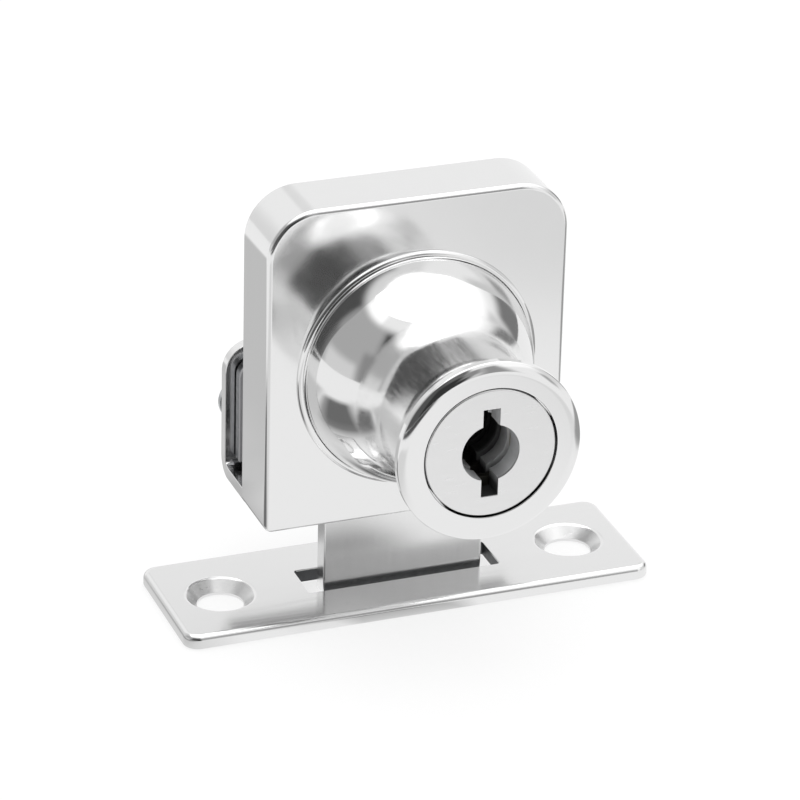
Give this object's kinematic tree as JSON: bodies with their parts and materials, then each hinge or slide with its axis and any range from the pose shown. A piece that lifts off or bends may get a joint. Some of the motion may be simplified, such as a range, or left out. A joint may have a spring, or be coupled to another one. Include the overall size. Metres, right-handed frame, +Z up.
{
  "type": "glass cabinet door lock",
  "caption": "Key-turned lock for a glass cabinet door: plated case with domed pull knob and key plug, dropping flat bolt, slotted strike plate and rear glass clamp.",
  "frame": {"origin": "middle of the strike plate's underside, half way between its two screw holes", "axes": "+X along the strike plate, -Y towards the person who turns the key, +Z up from the cabinet towards the door"},
  "size_m": [0.048, 0.0365, 0.0424],
  "materials": {
    "strike_plating": "bright plated steel",
    "case_plating": "bright plated zinc die casting",
    "knob_plating": "bright plated zinc die casting",
    "bracket_plating": "bright plated bent steel sheet",
    "bolt_plating": "bright plated steel",
    "plug_satin": "satin nickel",
    "screw_steel": "zinc plated steel",
    "sheet_steel": "zinc plated sheet steel",
    "cam_steel": "turned steel",
    "spring_wire": "drawn spring wire",
    "wafer_brass": "stamped nickel brass",
    "pad_rubber": "moulded grey rubber sheet"
  },
  "bodies": {
    "strike": {"strike_plate": "strike_plating"},
    "lock_case": {"front_case": "case_plating", "pull_knob": "knob_plating", "knob_screws": "screw_steel", "clamp_bracket": "bracket_plating", "cover_screws": "screw_steel", "bolt_keeper": "sheet_steel", "front_glass_pad": "pad_rubber"},
    "key_cylinder": {"key_plug": "plug_satin", "wafer_springs": "spring_wire", "drive_cam": "cam_steel", "drive_pin": "cam_steel", "cam_screw": "screw_steel"},
    "bolt": {"dead_bolt": "bolt_plating"},
    "clamp_foot": {"pressure_plate": "sheet_steel", "rear_glass_pad": "pad_rubber"},
    "left_screw": {"clamp_screw_left": "screw_steel"},
    "right_screw": {"clamp_screw_right": "screw_steel"},
    "wafer_one": {"wafer_1": "wafer_brass"},
    "wafer_two": {"wafer_2": "wafer_brass"},
    "wafer_three": {"wafer_3": "wafer_brass"},
    "wafer_four": {"wafer_4": "wafer_brass"},
    "wafer_five": {"wafer_5": "wafer_brass"}
  },
  "joints": [
    {"name": "lift_off", "type": "slide", "parent": "strike", "child": "lock_case", "axis": [0, 0, 1], "range_m": [0, 0.014]},
    {"name": "plug_turn", "type": "hinge", "parent": "lock_case", "child": "key_cylinder", "pos_m": [0, -0.02305, 0.02485], "axis": [0, 1, 0], "range_deg": [0, 180]},
    {"name": "bolt_slide", "type": "slide", "parent": "lock_case", "child": "bolt", "axis": [0, 0, 1], "range_m": [0, 0.0094]},
    {"name": "clamp_foot_slide", "type": "slide", "parent": "lock_case", "child": "clamp_foot", "axis": [0, -1, 0], "range_m": [0, 0.001]},
    {"name": "clamp_screw_left_turn", "type": "hinge", "parent": "clamp_foot", "child": "left_screw", "pos_m": [-0.012, 0.01015, 0.01595], "axis": [0, -1, 0], "range_deg": [0, 720]},
    {"name": "clamp_screw_right_turn", "type": "hinge", "parent": "clamp_foot", "child": "right_screw", "pos_m": [0.012, 0.01015, 0.01595], "axis": [0, -1, 0], "range_deg": [0, 720]},
    {"name": "wafer_1_slide", "type": "slide", "parent": "key_cylinder", "child": "wafer_one", "axis": [0, 0, 1], "range_m": [0, 0.0008], "deforming": ["wafer_springs"]},
    {"name": "wafer_2_slide", "type": "slide", "parent": "key_cylinder", "child": "wafer_two", "axis": [0, 0, 1], "range_m": [0, 0.0006]},
    {"name": "wafer_3_slide", "type": "slide", "parent": "key_cylinder", "child": "wafer_three", "axis": [0, 0, 1], "range_m": [0, 0.0008]},
    {"name": "wafer_4_slide", "type": "slide", "parent": "key_cylinder", "child": "wafer_four", "axis": [0, 0, 1], "range_m": [0, 0.0004]},
    {"name": "wafer_5_slide", "type": "slide", "parent": "key_cylinder", "child": "wafer_five", "axis": [0, 0, 1], "range_m": [0, 0.0006]}
  ],
  "couplings": [
    {"joint": "bolt_slide", "follows": "plug_turn", "m_per_rad": 0.0029921},
    {"joint": "clamp_screw_left_turn", "follows": "clamp_foot_slide", "rad_per_m": 12566},
    {"joint": "clamp_screw_right_turn", "follows": "clamp_foot_slide", "rad_per_m": 12566},
    {"joint": "wafer_2_slide", "follows": "wafer_1_slide", "ratio": 0.75},
    {"joint": "wafer_3_slide", "follows": "wafer_1_slide", "ratio": 1},
    {"joint": "wafer_4_slide", "follows": "wafer_1_slide", "ratio": 0.5},
    {"joint": "wafer_5_slide", "follows": "wafer_1_slide", "ratio": 0.75}
  ]
}
